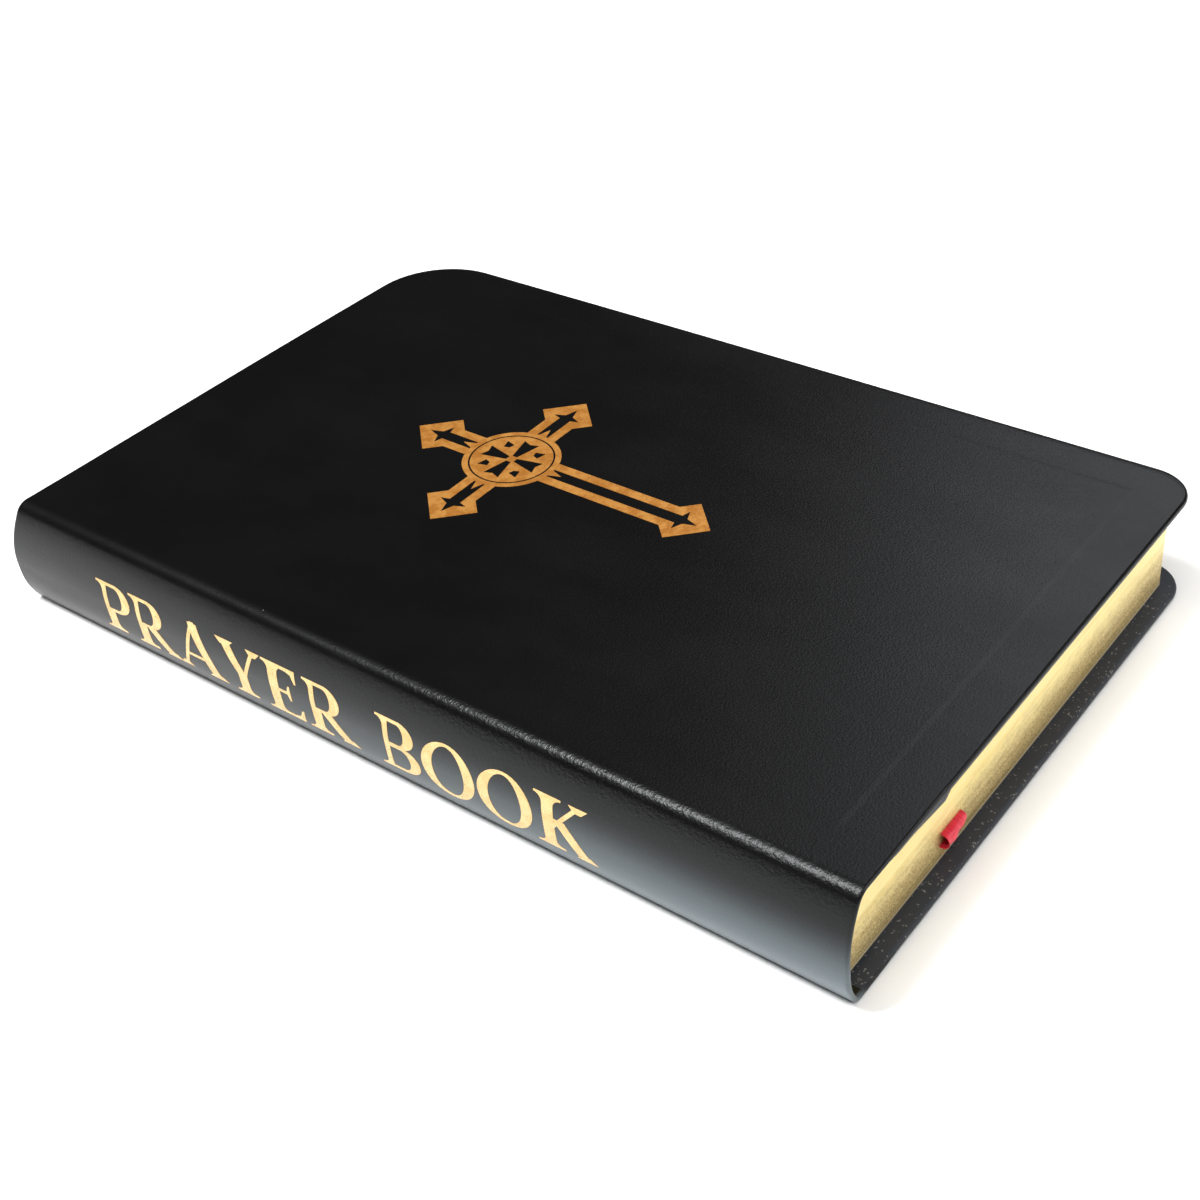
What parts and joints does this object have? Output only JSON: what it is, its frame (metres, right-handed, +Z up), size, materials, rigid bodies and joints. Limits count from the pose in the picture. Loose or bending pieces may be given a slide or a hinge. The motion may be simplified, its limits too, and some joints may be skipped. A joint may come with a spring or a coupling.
{
  "type": "prayer book",
  "caption": "Closed leather-bound prayer book with opening covers, turning leaves, gilt page edges, a gold cross and title, and a ribbon marker.",
  "frame": {"origin": "under the middle of the closed book, on the surface that it lies on", "axes": "+X from the spine to the fore-edge, +Y from the tail to the head, +Z up through the pages to the front cover"},
  "size_m": [0.12, 0.18, 0.0224],
  "materials": {
    "black_leather": "smooth fine grain, satin",
    "grey_card": "matt",
    "cream_endpaper": "matt",
    "gilt_edged_paper": "matt, gilded on the three cut edges",
    "gold_foil": "blocked foil, satin",
    "white_cloth": "open weave",
    "kraft_paper": "matt",
    "linen_thread": "waxed thread",
    "band_cloth": "woven silk band",
    "red_ribbon": "satin"
  },
  "bodies": {
    "text_block": {"spine_leather": "black_leather", "spine_inlay": "grey_card", "spine_title": "gold_foil", "spine_lining": "kraft_paper", "mull": "white_cloth", "sewing_threads": "linen_thread", "headband": "band_cloth", "tailband": "band_cloth", "first_section_fold": "gilt_edged_paper", "section_01": "gilt_edged_paper", "section_02": "gilt_edged_paper", "section_03": "gilt_edged_paper", "section_04": "gilt_edged_paper", "section_05": "gilt_edged_paper", "section_06": "gilt_edged_paper", "section_07": "gilt_edged_paper", "section_08": "gilt_edged_paper", "section_09": "gilt_edged_paper", "section_10": "gilt_edged_paper", "section_11": "gilt_edged_paper", "section_12": "gilt_edged_paper", "section_13": "gilt_edged_paper", "back_flyleaf": "cream_endpaper", "ribbon_marker": "red_ribbon"},
    "front_cover": {"front_cover_leather": "black_leather", "front_board": "grey_card", "front_infill": "grey_card", "front_pastedown": "cream_endpaper", "cover_cross": "gold_foil", "cover_roundel": "gold_foil"},
    "back_cover": {"back_cover_leather": "black_leather", "back_board": "grey_card", "back_infill": "grey_card", "back_pastedown": "cream_endpaper"},
    "front_flyleaf": {"front_flyleaf": "cream_endpaper"},
    "title_leaf": {"title_leaf": "gilt_edged_paper"},
    "leaf_02": {"leaf_02": "gilt_edged_paper"},
    "leaf_03": {"leaf_03": "gilt_edged_paper"},
    "leaf_04": {"leaf_04": "gilt_edged_paper"},
    "leaf_05": {"leaf_05": "gilt_edged_paper"},
    "ribbon_tip": {"ribbon_tip": "red_ribbon"}
  },
  "joints": [
    {"name": "front_cover_hinge", "type": "hinge", "parent": "text_block", "child": "front_cover", "pos_m": [-0.057, 0, 0.0216], "axis": [0, -1, 0], "range_deg": [0, 188]},
    {"name": "back_cover_hinge", "type": "hinge", "parent": "text_block", "child": "back_cover", "pos_m": [-0.057, 0, 0.00075], "axis": [0, 1, 0], "range_deg": [0, 180]},
    {"name": "front_flyleaf_turn", "type": "hinge", "parent": "text_block", "child": "front_flyleaf", "pos_m": [-0.0505, 0, 0.0208], "axis": [0, -1, 0], "range_deg": [0, 162.8]},
    {"name": "title_leaf_turn", "type": "hinge", "parent": "text_block", "child": "title_leaf", "pos_m": [-0.0505, 0, 0.0208], "axis": [0, -1, 0], "range_deg": [0, 159.9]},
    {"name": "leaf_02_turn", "type": "hinge", "parent": "text_block", "child": "leaf_02", "pos_m": [-0.0505, 0, 0.0208], "axis": [0, -1, 0], "range_deg": [0, 156.2]},
    {"name": "leaf_03_turn", "type": "hinge", "parent": "text_block", "child": "leaf_03", "pos_m": [-0.0505, 0, 0.0208], "axis": [0, -1, 0], "range_deg": [0, 13.3]},
    {"name": "leaf_04_turn", "type": "hinge", "parent": "text_block", "child": "leaf_04", "pos_m": [-0.0505, 0, 0.0208], "axis": [0, -1, 0], "range_deg": [0, 8.6]},
    {"name": "leaf_05_turn", "type": "hinge", "parent": "text_block", "child": "leaf_05", "pos_m": [-0.0505, 0, 0.0208], "axis": [0, -1, 0], "range_deg": [0, 3.9]},
    {"name": "ribbon_tip_lift", "type": "hinge", "parent": "text_block", "child": "ribbon_tip", "pos_m": [-0.0244, -0.0868, 0.00727], "axis": [-1, 0, 0], "range_deg": [0, 60]}
  ],
  "couplings": [
    {"joint": "front_flyleaf_turn", "follows": "front_cover_hinge", "ratio": 0.865},
    {"joint": "title_leaf_turn", "follows": "front_cover_hinge", "ratio": 0.85},
    {"joint": "leaf_02_turn", "follows": "front_cover_hinge", "ratio": 0.83},
    {"joint": "leaf_03_turn", "follows": "front_cover_hinge", "ratio": 0.07},
    {"joint": "leaf_04_turn", "follows": "front_cover_hinge", "ratio": 0.045},
    {"joint": "leaf_05_turn", "follows": "front_cover_hinge", "ratio": 0.02}
  ]
}
